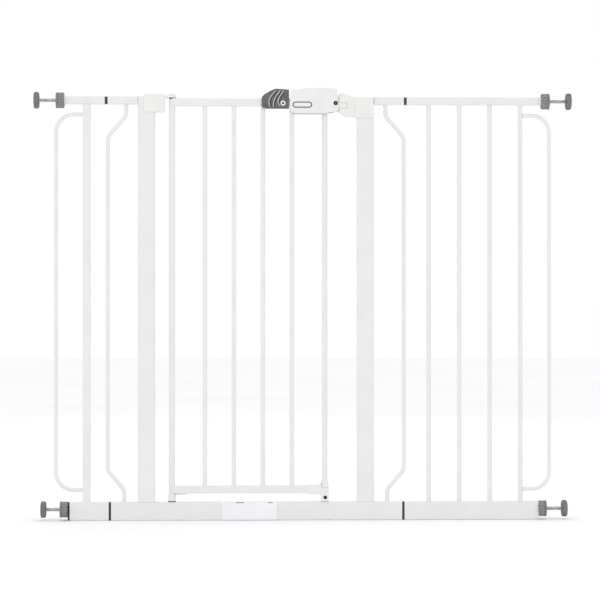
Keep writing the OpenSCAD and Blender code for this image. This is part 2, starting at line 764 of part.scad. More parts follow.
// Handle: an upside-down trough over the door rail's end, its left end an arc round the pivot
module handle_shell() {
    arc = [for (i = [0 : 8]) let (a = 164 + (190 - 164) * i / 8)
        [pivot_x + handle_l * cos(a), pivot_z + handle_l * sin(a)]];
    nose = [for (i = [0 : 6]) let (a = -30 + 120 * i / 6)
        [pivot_x - 1.6 + 5.2 * cos(a), pivot_z + 25.2 + 5.2 * sin(a)]];
    outline = concat(arc, [
        [pivot_x - 86, pivot_z - 21.6], [pivot_x - 27, pivot_z - 21.6],
        [pivot_x - 8, pivot_z - 18.4], [pivot_x + 4.8, pivot_z - 15.6],
        [pivot_x + 4.8, pivot_z + 3], [pivot_x + 0.6, pivot_z + 20.4]
    ], nose, [
        [pivot_x - 10, pivot_z + 31.5], [pivot_x - 26, pivot_z + 32.3], [pivot_x - 46, pivot_z + 32.3],
        [pivot_x - 64, pivot_z + 31.6], [pivot_x - 78, pivot_z + 29.6]
    ]);
    color(white) difference() {
        translate([0, handle_d / 2, 0]) rotate([90, 0, 0])
            linear_extrude(handle_d) polygon(outline);
        translate([0, handle_in / 2, 0]) rotate([90, 0, 0]) linear_extrude(handle_in) polygon([
            [pivot_x - 110, pivot_z - 40], [pivot_x - 110, pivot_z + 20.5],
            [pivot_x - 70, handle_roof_z], [pivot_x - 6, handle_roof_z],
            [pivot_x - 6, pivot_z + 24.6], [pivot_x + 20, pivot_z + 24.6],
            [pivot_x + 20, pivot_z - 40]
        ]);
        translate([pivot_x, -handle_d, pivot_z]) rotate([-90, 0, 0])
            cylinder(d = pin_d + 2 * run, h = 2 * handle_d);
        for (side = [-1, 1]) translate([pivot_x, side * handle_d / 2, pivot_z])
            rotate([90, 0, 0]) cylinder(d = pivot_head_d + 4 * air, h = 1.8, center = true);
        translate([badge_x, -handle_d / 2 + badge_t - 0.2, badge_z]) rotate([90, 0, 0])
            linear_extrude(4) badge_outline(fit);
    }
}

// Long oval of two round ends, grown by a margin
module badge_outline(margin) {
    square([badge_l - badge_h, badge_h + 2 * margin], center = true);
    for (side = [-1, 1]) translate([side * (badge_l - badge_h) / 2, 0])
        circle(d = badge_h + 2 * margin);
}

// Blank oval plate set in the handle's front
module handle_badge() {
    color(grey) translate([badge_x, -handle_d / 2 + badge_t - 0.2, badge_z]) rotate([90, 0, 0])
        linear_extrude(badge_t) badge_outline(0);
}

// Release: a smaller trough over the door rail, rocking on its rivet
module release_trigger() {
    z0 = release_pivot_z - 9.3;
    z1 = release_pivot_z + 30.6;
    inner = release_d - 6;
    color(grey) difference() {
        translate([0, release_d / 2, 0]) rotate([90, 0, 0]) linear_extrude(release_d) polygon([
            [release_x0, z0], [release_x0, z0 + 20], [release_x0 + 2, z0 + 24.5],
            [release_x0 + 6.5, z0 + 28.8], [release_x0 + 18, z1 - 4.4], [release_x0 + 28, z1],
            [release_x0 + 34, z1], [release_x1, z1 - 1.8], [release_x1, z0]
        ]);
        translate([0, inner / 2, 0]) rotate([90, 0, 0]) linear_extrude(inner) polygon([
            [release_x0 - 5, z0 - 5], [release_x0 - 5, z0 + 25.3], [release_x0 + 6, z0 + 25.3],
            [release_x0 + 26, release_roof_z], [release_x1 + 5, release_roof_z],
            [release_x1 + 5, z0 - 5]
        ]);
        translate([release_x, -release_d, release_pivot_z]) rotate([-90, 0, 0])
            cylinder(d = pin_d + 2 * run, h = 2 * release_d);
    }
}

// ---- Spindles, nuts and wall pads ----

// Places a piece made for the right side at one of the four corners: its origin is the wall pad's
// outer face on the spindle's axis, and +X points at the wall
module corner(side, level) {
    x = level > 0 ? (side > 0 ? wide_x1 : -narrow_x0) + top_end
        : (side > 0 ? wide_base_x1 + rod_show_right : rod_show_left - narrow_base_x0)
            + top_end - rod_show_top;
    translate([side * x, 0, level > 0 ? top_z : base_rod_z])
        mirror([side > 0 ? 0 : 1, 0, 0]) children();
}

// Threaded rod, drawn plain, with its end seated in the pad
module spindle_rod() {
    color(zinc) translate([-pad_t - rod_l, 0, 0]) rotate([0, 90, 0])
        cylinder(d = rod_d, h = rod_l + rod_seat);
}

// Rubber pad: a disc with rounded rims, a raised band round its edge and a socket for the rod
module wall_pad() {
    color(grey) translate([-pad_t, 0, 0]) rotate([0, 90, 0]) difference() {
        rotate_extrude() polygon([
            [0, 0], [pad_d / 2 - 2, 0], [pad_d / 2 - 0.8, 0.6], [pad_d / 2 - 0.3, 1.6],
            [pad_d / 2 - 0.3, pad_t - 6.6], [pad_d / 2, pad_t - 6.5], [pad_d / 2, pad_t - 2.5],
            [pad_d / 2 - 0.3, pad_t - 2.4], [pad_d / 2 - 0.3, pad_t - 1.4],
            [pad_d / 2 - 0.8, pad_t - 0.5], [pad_d / 2 - 2, pad_t], [0, pad_t]
        ]);
        translate([0, 0, -eps]) cylinder(d = rod_d, h = rod_seat + eps);
    }
}

// Fluted nut with a plain rim on the wall's side; show is the length of rod beyond it
module adjusting_nut(show) {
    rim = 3;
    color(grey) translate([-pad_t - show - nut_l, 0, 0]) rotate([0, 90, 0]) difference() {
        union() {
            linear_extrude(nut_l - rim) difference() {
                circle(d = nut_d - 1.4);
                for (i = [0 : 15]) rotate((i + 0.5) * 22.5) translate([nut_d / 2 + 0.4, 0])
                    circle(d = 3.4);
            }
            translate([0, 0, nut_l - rim]) cylinder(d = nut_d, h = rim);
        }
        translate([0, 0, -eps]) cylinder(d = rod_d + 0.1, h = nut_l + 2 * eps);
    }
}

module spindle_rod_top_left() {
    corner(-1, 1) spindle_rod();
}

module wall_pad_top_left() {
    corner(-1, 1) wall_pad();
}

module adjusting_nut_top_left() {
    corner(-1, 1) adjusting_nut(rod_show_top);
}

module spindle_rod_bottom_left() {
    corner(-1, -1) spindle_rod();
}

module wall_pad_bottom_left() {
    corner(-1, -1) wall_pad();
}

module adjusting_nut_bottom_left() {
    corner(-1, -1) adjusting_nut(rod_show_left);
}

module spindle_rod_top_right() {
    corner(1, 1) spindle_rod();
}

module wall_pad_top_right() {
    corner(1, 1) wall_pad();
}

module adjusting_nut_top_right() {
    corner(1, 1) adjusting_nut(rod_show_top);
}

module spindle_rod_bottom_right() {
    corner(1, -1) spindle_rod();
}

module wall_pad_bottom_right() {
    corner(1, -1) wall_pad();
}

module adjusting_nut_bottom_right() {
    corner(1, -1) adjusting_nut(rod_show_right);
}

bottom_rail();
hinge_post();
latch_post();
top_stub_left();
top_stub_right();
side_rod_left();
side_rod_right();
hinge_bracket();
frame_screws();
bottom_hinge_bushing();
latch_catch();
bottom_strike();
threshold_plate();
joint_plug_top_left();
joint_plug_bottom_left();
joint_plug_top_right();
joint_plug_bottom_right();
narrow_panel_top_rail();
narrow_panel_bottom_rail();
narrow_panel_post();
narrow_panel_loop();
wide_panel_top_rail();
wide_panel_bottom_rail();
wide_panel_bars();
wide_panel_loop();
end_plug_top_left();
end_plug_bottom_left();
end_plug_top_right();
end_plug_bottom_right();
door_top_rail();
door_bottom_rail();
hinge_stile();
latch_stile();
door_bars();
top_hinge_pin();
top_hinge_washer();
hinge_foot();
bottom_shoe();
shoe_screw();
latch_block();
handle_pivot_pin();
handle_spring();
release_pin();
release_spring();
handle_shell();
handle_badge();
release_trigger();
spindle_rod_top_left();
spindle_rod_bottom_left();
spindle_rod_top_right();
spindle_rod_bottom_right();
wall_pad_top_left();
wall_pad_bottom_left();
wall_pad_top_right();
wall_pad_bottom_right();
adjusting_nut_top_left();
adjusting_nut_bottom_left();
adjusting_nut_top_right();
adjusting_nut_bottom_right();
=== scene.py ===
import math

import bmesh
import bpy
from mathutils import Matrix, Vector


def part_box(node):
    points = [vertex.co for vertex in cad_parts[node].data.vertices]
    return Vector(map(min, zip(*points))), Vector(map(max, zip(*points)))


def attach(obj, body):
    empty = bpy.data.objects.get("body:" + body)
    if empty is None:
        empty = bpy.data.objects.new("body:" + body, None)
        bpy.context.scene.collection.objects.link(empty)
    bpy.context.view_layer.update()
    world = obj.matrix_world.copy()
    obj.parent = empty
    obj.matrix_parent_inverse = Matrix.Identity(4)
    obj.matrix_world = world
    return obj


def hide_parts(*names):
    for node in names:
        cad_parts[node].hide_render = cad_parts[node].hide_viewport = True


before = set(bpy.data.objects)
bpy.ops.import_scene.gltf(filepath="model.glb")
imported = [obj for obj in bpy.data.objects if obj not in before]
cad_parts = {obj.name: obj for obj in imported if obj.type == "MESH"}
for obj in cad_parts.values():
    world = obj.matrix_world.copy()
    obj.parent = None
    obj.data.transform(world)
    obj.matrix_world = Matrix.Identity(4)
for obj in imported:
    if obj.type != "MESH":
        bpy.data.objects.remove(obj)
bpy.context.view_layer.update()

# ---- Camera and studio ----
# The gate stands on a pale sweep in an even white room: a long lens at mid height, almost square
# on, a large soft key from the upper left and weaker fills, so the white frame keeps its edges.

MM = 0.001
scene = bpy.context.scene
scene.view_settings.view_transform = "Standard"

camera_data = bpy.data.cameras.new("camera")
camera_data.lens = 113.4
camera_data.sensor_width = 36.0
camera_data.clip_end = 60.0
camera = bpy.data.objects.new("camera", camera_data)
camera.location = (-0.11025, -4.0, 0.439)
camera.rotation_euler = (math.radians(90.364), 0.0, math.radians(-1.477))
scene.collection.objects.link(camera)
scene.camera = camera


def linear(hex_code):
    """sRGB hex to a linear RGBA colour."""
    parts = [int(hex_code[i:i + 2], 16) / 255 for i in (1, 3, 5)]
    return [c / 12.92 if c <= 0.04045 else ((c + 0.055) / 1.055) ** 2.4 for c in parts] + [1.0]


def shader_node(tree, kind, settings=None, stops=(), **links):
    """Adds a node, gives its sockets and properties their values, and links its inputs."""
    made = tree.nodes.new(kind)
    for name, value in (settings or {}).items():
        if name in made.inputs:
            made.inputs[name].default_value = value
        else:
            setattr(made, name, value)
    for element, (place, colour) in zip(made.color_ramp.elements if stops else (), stops):
        element.position, element.color = place, colour
    for name, source in links.items():
        tree.links.new(source, made.inputs[name])
    return made


world = bpy.data.worlds.new("white_room")
world.use_nodes = True
world.node_tree.nodes["Background"].inputs["Color"].default_value = (1.0, 1.0, 1.0, 1.0)
world.node_tree.nodes["Background"].inputs["Strength"].default_value = 1.0
scene.world = world

sweep = bmesh.new()
bmesh.ops.create_grid(sweep, x_segments=1, y_segments=1, size=14.0)
bmesh.ops.translate(sweep, verts=sweep.verts[:], vec=(0.0, 0.0, -0.0003))
sweep_mesh = bpy.data.meshes.new("studio_floor")
sweep.to_mesh(sweep_mesh)
sweep.free()
floor = bpy.data.objects.new("studio_floor", sweep_mesh)
scene.collection.objects.link(floor)

# Painted studio floor: matt white with a barely visible mottle
floor_paint = bpy.data.materials.new("studio_floor_paint")
floor_paint.use_nodes = True
tree = floor_paint.node_tree
place = shader_node(tree, "ShaderNodeTexCoord")
mottle = shader_node(tree, "ShaderNodeTexNoise", {"Scale": 1.5}, Vector=place.outputs["Object"])
tint = shader_node(tree, "ShaderNodeValToRGB", stops=[(0.3, linear("#f9f9f9")), (0.7, linear("#fdfdfd"))],
                   Fac=mottle.outputs["Fac"])
tree.links.new(tint.outputs["Color"], tree.nodes["Principled BSDF"].inputs["Base Color"])
tree.nodes["Principled BSDF"].inputs["Roughness"].default_value = 0.9
tree.nodes["Principled BSDF"].inputs["Specular IOR Level"].default_value = 0.1
sweep_mesh.materials.append(floor_paint)

gate_middle = Vector((0.0, 0.0, 0.45))
for name, place, size, watts in [
    ("key", (-2.2, -3.4, 2.9), 2.2, 12.0),
    ("fill", (2.8, -3.2, 1.4), 2.4, 2.0),
    ("top", (0.2, 0.6, 3.6), 2.6, 5.0),
    ("back", (0.6, 3.4, 1.8), 2.4, 4.0),
]:
    light_data = bpy.data.lights.new(name, "AREA")
    light_data.shape = "SQUARE"
    light_data.size = size
    light_data.energy = watts
    light = bpy.data.objects.new(name, light_data)
    light.location = place
    light.rotation_euler = (gate_middle - Vector(place)).to_track_quat("-Z", "Y").to_euler()
    scene.collection.objects.link(light)

# ---- Steel frame, panels and door ----
# Round and square steel tube, MIG welded and powder coated white after welding. The coat is
# about 0.1 mm thick, with the faint orange peel that a sprayed and baked powder always has.


def finish(name, light, dark, rough, grain, depth, patch=60.0, rough_swing=0.06, cells=False,
           constants=None):
    """A surface with drifting colour and gloss over patch mm, and a relief of grain mm by depth mm."""
    made = bpy.data.materials.new(name)
    made.use_nodes = True
    tree = made.node_tree
    shader = tree.nodes["Principled BSDF"]
    place = shader_node(tree, "ShaderNodeTexCoord").outputs["Object"]
    drift = shader_node(tree, "ShaderNodeTexNoise", {"Scale": 1 / (patch * MM), "Detail": 3.0},
                        Vector=place)
    tint = shader_node(tree, "ShaderNodeValToRGB",
                       stops=[(0.36, linear(dark)), (0.64, linear(light))], Fac=drift.outputs["Fac"])
    gloss = shader_node(tree, "ShaderNodeMapRange",
                        {"To Min": rough - rough_swing, "To Max": rough + rough_swing},
                        Value=drift.outputs["Fac"])
    if cells:
        relief = shader_node(tree, "ShaderNodeTexVoronoi", {"Scale": 1 / (grain * MM)},
                             Vector=place).outputs["Distance"]
    else:
        relief = shader_node(tree, "ShaderNodeTexNoise", {"Scale": 1 / (grain * MM), "Detail": 2.0},
                             Vector=place).outputs["Fac"]
    bump = shader_node(tree, "ShaderNodeBump", {"Strength": 0.6, "Distance": depth * MM}, Height=relief)
    tree.links.new(tint.outputs["Color"], shader.inputs["Base Color"])
    tree.links.new(gloss.outputs["Result"], shader.inputs["Roughness"])
    tree.links.new(bump.outputs["Normal"], shader.inputs["Normal"])
    for socket, value in (constants or {}).items():
        shader.inputs[socket].default_value = value
    return made


# Baked polyester powder: bright, half-gloss, with orange peel about 2 mm across
powder_coat = finish("white_powder_coat", "#e7e7e6", "#e4e4e3", rough=0.34, grain=2.0, depth=0.035,
                     constants={"IOR": 1.5})


def paint(material, *nodes):
    """Gives carried-over CAD nodes their finish."""
    for node in nodes:
        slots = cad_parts[node].data.materials
        slots.clear()
        slots.append(material)


paint(powder_coat, "bottom_rail", "hinge_post", "latch_post", "top_stub_left", "top_stub_right",
      "side_rod_left", "side_rod_right", "narrow_panel_top_rail", "narrow_panel_bottom_rail",
      "narrow_panel_post", "narrow_panel_loop", "wide_panel_top_rail", "wide_panel_bottom_rail",
      "wide_panel_bars", "wide_panel_loop", "door_top_rail", "door_bottom_rail", "hinge_stile",
      "latch_stile", "door_bars")


def cad(node):
    """Lowest and highest corner of a CAD node, in millimetres."""
    low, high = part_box(node)
    return low / MM, high / MM


def middle(node):
    """Middle of a CAD node's box, in millimetres."""
    low, high = cad(node)
    return (low + high) / 2


def rounded_box(width, height, corner, rise=0.0):
    """Ring outline: a rounded rectangle whose middle lies rise above the ring's own centre."""
    def reach(angle):
        step = Vector((math.cos(angle), math.sin(angle)))
        near, far = 0.0, width + height
        for _ in range(40):
            at = (near + far) / 2
            spot = step * at - Vector((0.0, rise))
            out = Vector((max(abs(spot.x) - width / 2 + corner, 0.0),
                          max(abs(spot.y) - height / 2 + corner, 0.0)))
            near, far = (at, far) if out.length < corner else (near, at)
        return at
    return reach


def ringed(bm, stations, count=32, hollow=False, place=Matrix.Identity(4)):
    """Extrudes a ring of points along +Z through stations of (height, outline); an outline is a
    radius or a function of the angle. A hollow run ends on its first ring; a solid one is capped."""
    before = set(bm.verts)
    edges = bmesh.ops.create_circle(bm, segments=count, radius=1.0)["verts"]
    edges = list(dict.fromkeys(edge for vert in edges for edge in vert.link_edges))
    first = edges
    for index, (height, outline) in enumerate(stations):
        if index:
            grown = bmesh.ops.extrude_edge_only(bm, edges=edges)["geom"]
            edges = [part for part in grown if isinstance(part, bmesh.types.BMEdge)]
        for vert in dict.fromkeys(vert for edge in edges for vert in edge.verts):
            angle = math.atan2(vert.co.y, vert.co.x)
            reach = outline(angle) if callable(outline) else outline
            vert.co = (math.cos(angle) * reach, math.sin(angle) * reach, height)
    if not hollow:
        for rim in (first, edges):
            bmesh.ops.contextual_create(bm, geom=rim)
    made = [vert for vert in bm.verts if vert not in before]
    if hollow:
        bmesh.ops.remove_doubles(bm, verts=made, dist=0.001)
        made = [vert for vert in bm.verts if vert not in before]
    bmesh.ops.transform(bm, matrix=place, verts=made)
    return made


def pointing(axis, at):
    """Turns a ringed piece's +Z to an axis and moves its origin to a point."""
    return Matrix.Translation(at) @ Vector(axis).to_track_quat("Z", "Y").to_matrix().to_4x4()


def add_piece(name, bm, materials, body, replaces=(), edge=0.0, wall=0.0, segments=2,
              sharp=35.0):
    """Makes the finished mesh an object in metres that rides on a body, with its edges rounded."""
    bmesh.ops.remove_doubles(bm, verts=bm.verts[:], dist=0.0005)
    bmesh.ops.recalc_face_normals(bm, faces=bm.faces[:])
    bmesh.ops.scale(bm, vec=(MM, MM, MM), verts=bm.verts[:])
    mesh = bpy.data.meshes.new(name)
    bm.to_mesh(mesh)
    bm.free()
    for material in materials if isinstance(materials, list) else [materials]:
        mesh.materials.append(material)
    mesh.shade_smooth()
    mesh.set_sharp_from_angle(angle=math.radians(sharp))
    piece = bpy.data.objects.new(name, mesh)
    scene.collection.objects.link(piece)
    if wall:
        thick = piece.modifiers.new("wall", "SOLIDIFY")
        thick.thickness = wall * MM
        thick.offset = -1.0
        thick.use_even_offset = True
    if edge:
        soften = piece.modifiers.new("edges", "BEVEL")
        soften.width = edge * MM
        soften.segments = segments
        soften.limit_method = "ANGLE"
        soften.angle_limit = math.radians(sharp)
        soften.harden_normals = True
    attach(piece, body)
    if replaces:
        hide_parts(*replaces)


def bead(bm, at, axis, outline, swell=1.1):
    """A fillet weld round a tube's end: wide on the rail, thin up the tube."""
    def grown(extra):
        return (lambda angle: outline(angle) + extra) if callable(outline) else outline + extra
    ringed(bm, [(-0.3, grown(-0.4)), (-0.3, grown(swell)), (0.15, grown(swell)),
                (0.55 * swell, grown(0.62 * swell)), (0.95 * swell, grown(0.28 * swell)),
                (1.45 * swell, grown(0.02)), (1.45 * swell, grown(-0.4)), (-0.3, grown(-0.4))],
           count=28, hollow=True, place=pointing(axis, at))


def pull(bm, corners, by):
    """Makes a face on its corners and extrudes it by a vector."""
    face = bm.faces.new([bm.verts.new(spot) for spot in corners])
    grown = bmesh.ops.extrude_face_region(bm, geom=[face])["geom"]
    bmesh.ops.translate(bm, vec=by, verts=[part for part in grown if isinstance(part, bmesh.types.BMVert)])


def weld_bars(bm, node, bottom, top):
    """Beads at both ends of a node's four evenly spaced round bars."""
    low, high = cad(node)
    radius = (high.y - low.y) / 2
    for index in range(4):
        x = low.x + radius + index * (high.x - low.x - 2 * radius) / 3
        bead(bm, (x, 0, bottom), UP, radius)
        bead(bm, (x, 0, top), DOWN, radius)


UP, DOWN = (0, 0, 1), (0, 0, -1)
SQUARE_CORNER = 2.5
rail_top = cad("bottom_rail")[1].z
rail_under = cad("wide_panel_top_rail")[0].z
welds = bmesh.new()
weld_bars(welds, "wide_panel_bars", rail_top, rail_under)
post_low, post_high = cad("narrow_panel_post")
post_box = rounded_box(post_high.x - post_low.x, post_high.y - post_low.y, SQUARE_CORNER)
post_x = middle("narrow_panel_post").x
bead(welds, (post_x, 0, rail_top), UP, post_box, swell=0.8)
bead(welds, (post_x, 0, rail_under), DOWN, post_box, swell=0.8)
for node, side, toward in [("narrow_panel_loop", post_low.x, (-1, 0, 0)),
                           ("wide_panel_loop", cad("wide_panel_bars")[1].x, (1, 0, 0))]:
    loop_low, loop_high = cad(node)
    wire_r = (loop_high.y - loop_low.y) / 2
    for z in (loop_low.z + wire_r, loop_high.z - wire_r):
        bead(welds, (side, 0, z), toward, wire_r, swell=1.2)
rod_lean = 3.5
for node, side in [("side_rod_left", -1), ("side_rod_right", 1)]:
    rod_low, rod_high = cad(node)
    rod_r = (rod_high.y - rod_low.y) / 2
    head_x = rod_high.x - rod_r if side < 0 else rod_low.x + rod_r
    bead(welds, (head_x + rod_lean * side, 0, rail_top), UP, rod_r)
    bead(welds, (head_x, 0, rail_under), DOWN, rod_r)
run_length = 13
for node in ("hinge_post", "latch_post"):
    low, high = cad(node)
    for x, out in ((low.x, -1), (high.x, 1)):
        pull(welds, [(x + dx * out, -run_length / 2, rail_top + dz) for dx, dz in
                     ((-0.4, -0.3), (1.9, -0.3), (1.2, 0.7), (0.5, 1.5), (-0.4, 2.2))],
             (0, run_length, 0))
add_piece("frame_welds", welds, powder_coat, "frame", sharp=60)

door_welds = bmesh.new()
weld_bars(door_welds, "door_bars", cad("door_bars")[0].z, cad("door_bars")[1].z)
low, high = cad("latch_stile")
bead(door_welds, (middle("latch_stile").x, 0, high.z), DOWN, (high.y - low.y) / 2)
seat = 1.6
for node in ("door_top_rail", "door_bottom_rail"):
    low, high = cad(node)
    bead(door_welds, (low.x + seat, 0, middle(node).z), (1, 0, 0),
         rounded_box(high.y - low.y, high.z - low.z, SQUARE_CORNER), swell=0.5)
add_piece("door_welds", door_welds, powder_coat, "door", sharp=60)

# ---- Hinge post cap ----
# A white ABS plug, pressed into the open top of the hinge post beside the bracket until its thin
# rim lies flush on the tube.

# Injection-moulded ABS: half-matt, with a fine spark-eroded grain from the mould
white_plastic = finish("white_moulded_abs", "#e9e9e8", "#e5e5e4", rough=0.42, grain=0.9, depth=0.03,
                       patch=25.0, cells=True, constants={"IOR": 1.54})

low, high = cad("hinge_post")
cap = bmesh.new()
width, depth = high.x - low.x, high.y - low.y
cap_rim = rounded_box(width - 0.4, depth - 0.4, 4.8)
cap_skirt = rounded_box(width - 4.0, depth - 4.0, 3.2)
ringed(cap, [(-9.0, cap_skirt), (-0.6, cap_skirt), (-0.6, cap_rim), (0.2, cap_rim),
             (0.5, rounded_box(width - 1.2, depth - 1.2, 4.4))],
       count=64, place=Matrix.Translation((middle("hinge_post").x, 0, high.z - 0.4)))
add_piece("hinge_post_cap", cap, white_plastic, "frame")

# ---- Hinge bracket ----
# A hollow ABS cap clipped over the post's corner and screwed from behind. A thick arm at its
# top carries the door's hinge pin; a small guide tab points down beside the post's face.


def slab(bm, outline, y0, y1):
    """Extrudes an outline of (x, z) points from y0 to y1."""
    pull(bm, [(x, y0, z) for x, z in outline], (0, y1 - y0, 0))


def corner_arc(cx, cz, radius, start, end, steps=6):
    """Points of an arc in the XZ plane, angles in degrees."""
    return [(cx + radius * math.cos(math.radians(start + (end - start) * i / steps)),
             cz + radius * math.sin(math.radians(start + (end - start) * i / steps)))
            for i in range(steps + 1)]


low, high = cad("hinge_bracket")
pin = middle("top_hinge_pin")
arm_low = cad("top_hinge_washer")[1].z + 0.3
arm_thick, arm_out = 5.7, 9.0
cap_right = low.x + 44
tab_left, tab_right, tab_foot = cap_right - 27.6, cap_right - 19.6, low.z - 7.2
bracket = bmesh.new()
slab(bracket, [(low.x, low.z + 1.5), (low.x + 1.5, low.z), (cap_right - 19, low.z),
               (cap_right - 16.5, low.z + 1), (cap_right - 3, low.z + 1)]
     + corner_arc(cap_right - 3, low.z + 4, 3, -90, 0, 4)
     + [(cap_right, high.z - 4)] + corner_arc(cap_right - 4, high.z - 4, 4, 0, 90)
     + corner_arc(low.x + 4, high.z - 4, 4, 90, 180), low.y, high.y)
slab(bracket, [(tab_left, low.z + 2), (tab_left, low.z - 5), (tab_left + 1, tab_foot),
               (tab_right - 2, tab_foot), (tab_right, low.z + 2)], -7.5, 7.5)
arm_end = [(pin.x + arm_out * math.cos(math.radians(turn)), arm_out * math.sin(math.radians(turn)))
           for turn in range(90, -91, -15)]
pull(bracket, [(x, y, arm_low) for x, y in
               [(cap_right - 3, -arm_out), (cap_right - 3, arm_out)] + arm_end], (0, 0, arm_thick))
add_piece("hinge_bracket_moulding", bracket, white_plastic, "frame", replaces=["hinge_bracket"],
          edge=1.1, segments=3)

# ---- Hinge pin, washer and foot ----
# The door turns on a zinc-plated shouldered pin above and a moulded foot below. The foot's own
# pin drops through a black nylon bush in the bottom rail; a black washer carries the top.

# Bright zinc plate over steel: pale, bluish, semi-bright
zinc_plate = finish("zinc_plated_steel", "#d2d4d6", "#b4b6b9", rough=0.30, grain=0.35, depth=0.008,
                    patch=9.0, rough_swing=0.1, constants={"Metallic": 1.0})
# Injection-moulded nylon, coloured through: near black with a dull sheen
black_plastic = finish("black_moulded_nylon", "#34353a", "#26272b", rough=0.48, grain=0.6, depth=0.02,
                       patch=8.0, cells=True, constants={"IOR": 1.53})

low, high = cad("top_hinge_pin")
head_z = high.z - 1.6
shaft = bmesh.new()
ringed(shaft, [(low.z, 3.4), (low.z + 0.8, 4.0), (head_z, 4.0), (head_z, 6.0), (head_z + 0.7, 6.0),
               (high.z - 0.25, 5.2), (high.z, 3.8), (high.z, 2.2), (high.z - 0.7, 2.0),
               (high.z - 0.7, 0.2)],
       count=32, place=Matrix.Translation((pin.x, 0, 0)))
add_piece("top_hinge_pin_turned", shaft, zinc_plate, "door", replaces=["top_hinge_pin"])

washer = bmesh.new()
low, high = cad("top_hinge_washer")
flange_z = high.z - 2.5
ringed(washer, [(low.z, 4.15), (low.z, 4.9), (low.z + 0.6, 5.3), (flange_z, 5.3), (flange_z, 6.1),
                (flange_z + 0.3, 6.45), (high.z - 0.3, 6.45), (high.z, 6.1), (high.z, 4.15),
                (low.z, 4.15)],
       count=40, hollow=True, place=Matrix.Translation((pin.x, 0, 0)))
add_piece("top_hinge_washer_moulded", washer, black_plastic, "door", replaces=["top_hinge_washer"])

bush = bmesh.new()
low, high = cad("bottom_hinge_bushing")
ringed(bush, [(low.z, 4.1), (low.z, 5.6), (low.z + 0.5, 6.0), (high.z - 1.5, 6.0), (high.z - 1.5, 8.35),
              (high.z - 0.4, 8.35), (high.z, 7.9), (high.z, 4.6), (high.z - 0.5, 4.1), (low.z, 4.1)],
       count=40, hollow=True, place=Matrix.Translation((pin.x, 0, 0)))
add_piece("bottom_hinge_bush_moulded", bush, black_plastic, "frame", replaces=["bottom_hinge_bushing"])

foot = bmesh.new()
low, high = cad("hinge_foot")
foot_z = cad("bottom_hinge_bushing")[1].z + 0.3
ringed(foot, [(low.z, 3.2), (low.z + 1.0, 4.0), (foot_z - 0.1, 4.0), (foot_z, 4.3), (foot_z, 7.2),
              (foot_z + 0.5, 7.7), (foot_z + 11.8, 7.7), (foot_z + 13.6, 7.45), (foot_z + 15.0, 7.0),
              (foot_z + 15.0, 5.2), (high.z - 0.8, 5.2), (high.z, 4.4)],
       count=40, place=Matrix.Translation((pin.x, 0, 0)))
slab(foot, [(pin.x + 5.0, foot_z + 6.0), (pin.x + 9.6, foot_z + 13.0), (pin.x + 33, foot_z + 14.6),
            (pin.x + 33, foot_z + 16.8), (pin.x + 5.0, foot_z + 16.8)], -1.3, 1.3)
add_piece("hinge_foot_moulded", foot, white_plastic, "door", replaces=["hinge_foot"])

# ---- Catch on the latch post ----
# A white ABS nose with a slot for the tongue, moulded in one with two plates that hug the post.


def screw_cross(angle):
    """Ring outline of a cross recess, arms 2.3 mm long and 1.1 mm wide."""
    turned = abs((angle + math.pi / 4) % (math.pi / 2) - math.pi / 4)
    return min(2.3 / math.cos(turned), 0.55 / max(math.sin(turned), 1e-3))


low, high = cad("latch_catch")
post_low, post_high = cad("latch_post")
top = post_high.z + 2.2
nose_y = 10.2
pivot = middle("handle_pivot_pin")
slot_low, slot_high, slot_end = pivot.z - 10.65, pivot.z + 1.85, low.x + 17.1
nose_foot, plate_top, plate_wall = top - 41.4, top - 0.6, 1.7
nose = bmesh.new()
slab(nose, [(low.x, top - 31.6), (low.x + 4, top - 34.4), (low.x + 8, top - 36.9),
            (low.x + 12, top - 39.2), (low.x + 17, top - 41.2), (post_low.x + 1, nose_foot),
            (post_low.x + 1, top - 0.8),
            (low.x + 31, top - 0.2), (low.x + 24.5, top + 1.6), (low.x + 16, top + 4.6),
            (low.x + 8, top + 7.4), (low.x + 3, top + 8.2), (low.x + 0.4, top + 7.2), (low.x, slot_high),
            (slot_end, slot_high), (slot_end, slot_low), (low.x, slot_low)], -nose_y, nose_y)
slab(nose, [(post_low.x - 4, nose_foot), (post_low.x + 0.8, nose_foot), (post_low.x + 0.8, plate_top),
            (post_low.x - 4, plate_top)], low.y, high.y)
pull(nose, [(post_low.x + 0.2, y, z) for y, z in
            [(low.y, low.z), (low.y, plate_top), (high.y, plate_top), (high.y, low.z),
             (high.y - plate_wall, low.z), (high.y - plate_wall, plate_top - 1.5),
             (low.y + plate_wall, plate_top - 1.5), (low.y + plate_wall, low.z)]],
     (high.x - post_low.x - 0.2, 0, 0))
slab(nose, [(post_low.x + 3.6, low.z - 1.5), (post_low.x + 24.7, low.z - 1.5),
            (post_low.x + 24.7, low.z + 3), (post_low.x + 3.6, low.z + 3)], low.y + 0.9, low.y + 2.2)
add_piece("latch_catch_moulding", nose, white_plastic, "frame", replaces=["latch_catch"],
          edge=0.8, segments=3)

screws = bmesh.new()
low, high = cad("frame_screws")
bracket_back, catch_back = cad("hinge_bracket")[1].y, cad("latch_catch")[1].y
head_r = 3.5
for x, y, drop in [(low.x + head_r, bracket_back, 3.5), (low.x + head_r, bracket_back, 17.5),
                   (high.x - head_r, catch_back, 5.5), (high.x - head_r, catch_back, 25.5)]:
    ringed(screws, [(-2.0, 1.6), (-0.05, 1.6), (-0.05, head_r), (0.5, head_r), (1.15, 3.1), (1.6, 2.5),
                    (1.7, screw_cross), (0.7, screw_cross)],
           count=40, place=pointing((0, 1, 0), (x, y, high.z - drop)))
add_piece("frame_screws_cross", screws, zinc_plate, "frame", replaces=["frame_screws"])

